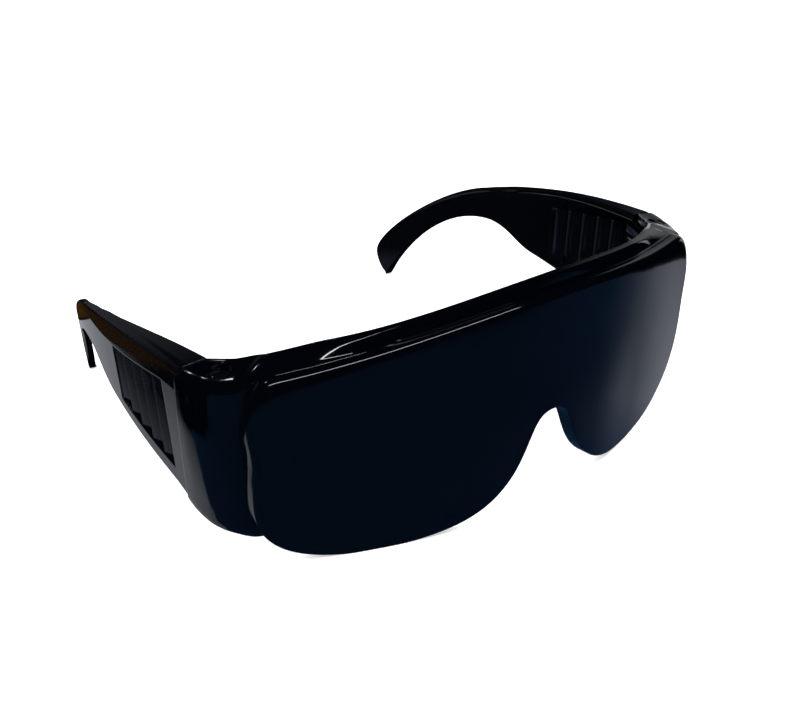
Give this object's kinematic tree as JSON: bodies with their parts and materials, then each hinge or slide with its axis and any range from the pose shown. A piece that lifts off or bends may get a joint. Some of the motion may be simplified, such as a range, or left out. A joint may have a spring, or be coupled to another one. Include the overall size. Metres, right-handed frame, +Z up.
{
  "type": "welding glasses",
  "caption": "Dark wraparound over-spectacles with a one-piece lens, brow ledge and side wings, and wide vented temples that fold inward on hinge pins.",
  "frame": {"origin": "on the table under the middle of the glasses, which stand on the lens's lower edge and the ear hooks", "axes": "+X towards the wearer's left, +Y from the lens towards the ears, +Z up"},
  "size_m": [0.1564, 0.1565, 0.0627],
  "materials": {
    "shield": "polished dark blue-black tint",
    "temple": "glossy black",
    "pin": "glossy black, moulded"
  },
  "bodies": {
    "front": {"front_shield": "shield", "right_upper_hinge_pin": "pin", "left_upper_hinge_pin": "pin", "right_lower_hinge_pin": "pin", "left_lower_hinge_pin": "pin"},
    "right_arm": {"right_temple": "temple"},
    "left_arm": {"left_temple": "temple"}
  },
  "joints": [
    {"name": "right_fold", "type": "hinge", "parent": "front", "child": "right_arm", "pos_m": [-0.0705, -0.04366, 0.03147], "axis": [0, 0.0704, -0.9975], "range_deg": [0, 88]},
    {"name": "left_fold", "type": "hinge", "parent": "front", "child": "left_arm", "pos_m": [0.0705, -0.04366, 0.03147], "axis": [0, -0.0704, 0.9975], "range_deg": [0, 78]}
  ]
}
